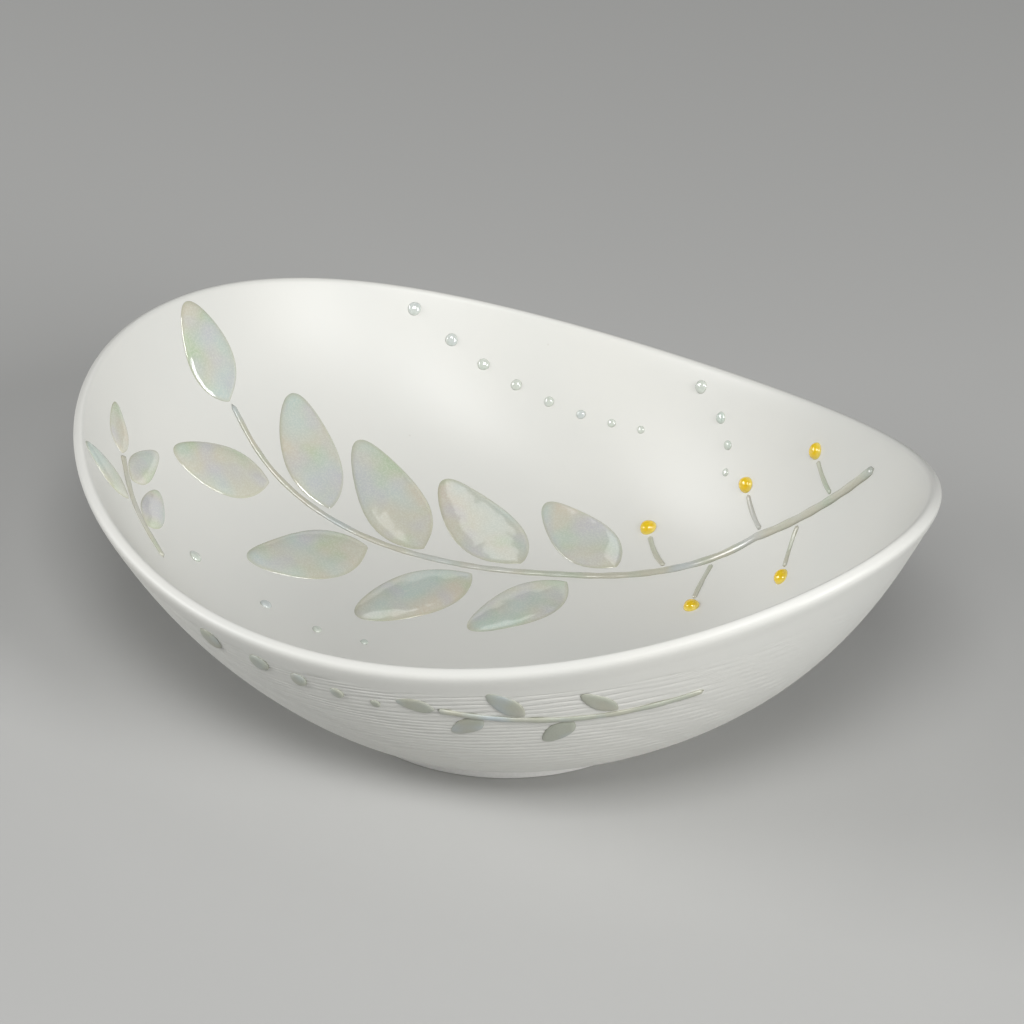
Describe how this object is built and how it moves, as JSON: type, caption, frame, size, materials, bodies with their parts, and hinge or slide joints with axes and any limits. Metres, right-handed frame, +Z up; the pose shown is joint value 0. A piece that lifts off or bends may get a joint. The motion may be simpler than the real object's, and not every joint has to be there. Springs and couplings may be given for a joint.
{
  "type": "oval serving bowl",
  "caption": "Oval ceramic serving bowl with a saddle-shaped lip, higher at its pointed end, on a round foot ring, with a sprig of leaves and berries in raised enamel.",
  "frame": {"origin": "on the table, under the middle of the bowl's box, which is also the middle of the round foot", "axes": "+Z up; +X along the length of the oval toward its higher, pointed end (the tip); +Y across the bowl"},
  "size_m": [0.19, 0.1384, 0.0694],
  "materials": {
    "white_glaze": "satin white glaze over porcelain",
    "bare_foot": "bare fired clay, ground flat",
    "pearl_enamel": "glossy raised enamel with a pearl lustre",
    "yellow_enamel": "glossy raised yellow enamel"
  },
  "bodies": {
    "root": {"bowl_body": "white_glaze", "foot_ring": "bare_foot", "branch": "pearl_enamel", "berry_1_berry": "yellow_enamel", "berry_1_twig": "pearl_enamel", "berry_2_berry": "yellow_enamel", "berry_2_twig": "pearl_enamel", "berry_3_berry": "yellow_enamel", "berry_3_twig": "pearl_enamel", "berry_4_berry": "yellow_enamel", "berry_4_twig": "pearl_enamel", "berry_5_berry": "yellow_enamel", "berry_5_twig": "pearl_enamel", "far_bead_1": "pearl_enamel", "far_bead_2": "pearl_enamel", "far_bead_3": "pearl_enamel", "far_bead_4": "pearl_enamel", "far_bead_5": "pearl_enamel", "far_bead_6": "pearl_enamel", "far_bead_7": "pearl_enamel", "far_bead_8": "pearl_enamel", "heel_leaf_1": "pearl_enamel", "heel_leaf_2": "pearl_enamel", "heel_leaf_3": "pearl_enamel", "heel_leaf_4": "pearl_enamel", "heel_twig": "pearl_enamel", "leaf_1": "pearl_enamel", "leaf_2": "pearl_enamel", "leaf_3": "pearl_enamel", "leaf_4": "pearl_enamel", "leaf_5": "pearl_enamel", "leaf_6": "pearl_enamel", "leaf_7": "pearl_enamel", "leaf_8": "pearl_enamel", "leaf_9": "pearl_enamel", "low_bead_1": "pearl_enamel", "low_bead_2": "pearl_enamel", "low_bead_3": "pearl_enamel", "low_bead_4": "pearl_enamel", "outside_drop_1": "pearl_enamel", "outside_drop_2": "pearl_enamel", "outside_drop_3": "pearl_enamel", "outside_drop_4": "pearl_enamel", "outside_drop_5": "pearl_enamel", "outside_leaf_1": "pearl_enamel", "outside_leaf_2": "pearl_enamel", "outside_leaf_3": "pearl_enamel", "outside_leaf_4": "pearl_enamel", "outside_leaf_5": "pearl_enamel", "outside_twig": "pearl_enamel", "tip_bead_1": "pearl_enamel", "tip_bead_2": "pearl_enamel", "tip_bead_3": "pearl_enamel", "tip_bead_4": "pearl_enamel"}
  },
  "joints": []
}
